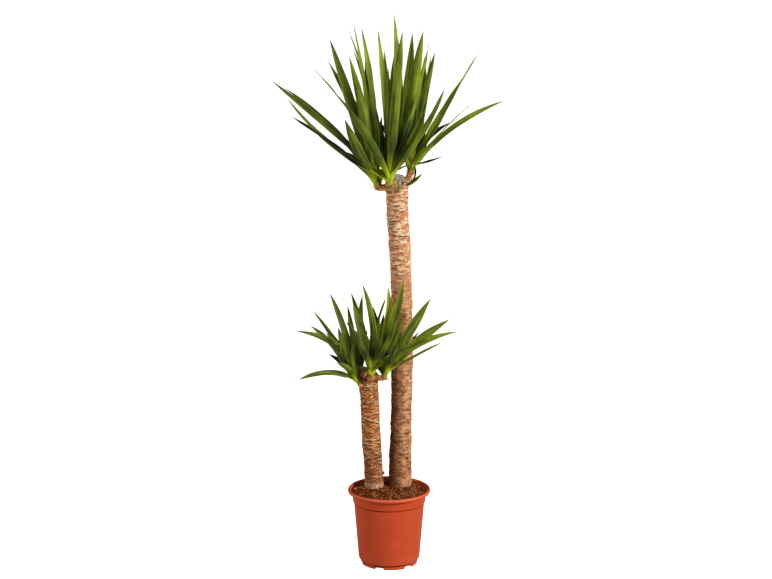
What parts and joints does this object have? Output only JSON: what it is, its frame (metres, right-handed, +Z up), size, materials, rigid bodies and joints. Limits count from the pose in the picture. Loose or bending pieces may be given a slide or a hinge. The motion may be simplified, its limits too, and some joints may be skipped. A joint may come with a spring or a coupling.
{
  "type": "potted yucca",
  "caption": "House plant for the floor: bare canes with side shoots of sword-shaped leaves, standing in soil in a round plastic nursery pot.",
  "frame": {"origin": "middle of the pot's underside, on the surface that the pot stands on", "axes": "+Z up, along the pot's axis and the canes; -Y is the front of the plant; +X is to the right seen from the front, on the side of the tall cane"},
  "size_m": [0.5866, 0.4543, 1.3973],
  "materials": {
    "terracotta_plastic": "satin moulded plastic, terracotta orange",
    "potting_mix": "loose dark brown peat with fibres, matte",
    "cane_bark": "rough tan bark with crescent leaf scars, matte",
    "shoot_base": "smooth pale green shoot base, satin",
    "leaf_green": "satin green leaf with fine lengthwise streaks"
  },
  "bodies": {
    "root": {"pot": "terracotta_plastic", "soil": "potting_mix", "tall_trunk": "cane_bark", "short_trunk": "cane_bark", "tall_left_shoot": "shoot_base", "tall_centre_shoot": "shoot_base", "tall_right_shoot": "shoot_base", "short_left_shoot": "shoot_base", "short_centre_shoot": "shoot_base", "short_right_shoot": "shoot_base", "tall_left_leaf_1": "leaf_green", "tall_left_leaf_2": "leaf_green", "tall_left_leaf_3": "leaf_green", "tall_left_leaf_4": "leaf_green", "tall_left_leaf_5": "leaf_green", "tall_left_leaf_6": "leaf_green", "tall_left_leaf_7": "leaf_green", "tall_left_leaf_8": "leaf_green", "tall_left_leaf_9": "leaf_green", "tall_centre_leaf_1": "leaf_green", "tall_centre_leaf_2": "leaf_green", "tall_centre_leaf_3": "leaf_green", "tall_centre_leaf_4": "leaf_green", "tall_centre_leaf_5": "leaf_green", "tall_centre_leaf_6": "leaf_green", "tall_centre_leaf_7": "leaf_green", "tall_centre_leaf_8": "leaf_green", "tall_centre_leaf_9": "leaf_green", "tall_right_leaf_1": "leaf_green", "tall_right_leaf_2": "leaf_green", "tall_right_leaf_3": "leaf_green", "tall_right_leaf_4": "leaf_green", "tall_right_leaf_5": "leaf_green", "tall_right_leaf_6": "leaf_green", "tall_right_leaf_7": "leaf_green", "tall_right_leaf_8": "leaf_green", "tall_right_leaf_9": "leaf_green", "short_left_leaf_1": "leaf_green", "short_left_leaf_2": "leaf_green", "short_left_leaf_3": "leaf_green", "short_left_leaf_4": "leaf_green", "short_left_leaf_5": "leaf_green", "short_left_leaf_6": "leaf_green", "short_left_leaf_7": "leaf_green", "short_centre_leaf_1": "leaf_green", "short_centre_leaf_2": "leaf_green", "short_centre_leaf_3": "leaf_green", "short_centre_leaf_4": "leaf_green", "short_centre_leaf_5": "leaf_green", "short_centre_leaf_6": "leaf_green", "short_centre_leaf_7": "leaf_green", "short_right_leaf_1": "leaf_green", "short_right_leaf_2": "leaf_green", "short_right_leaf_3": "leaf_green", "short_right_leaf_4": "leaf_green", "short_right_leaf_5": "leaf_green", "short_right_leaf_6": "leaf_green", "short_right_leaf_7": "leaf_green"}
  },
  "joints": []
}
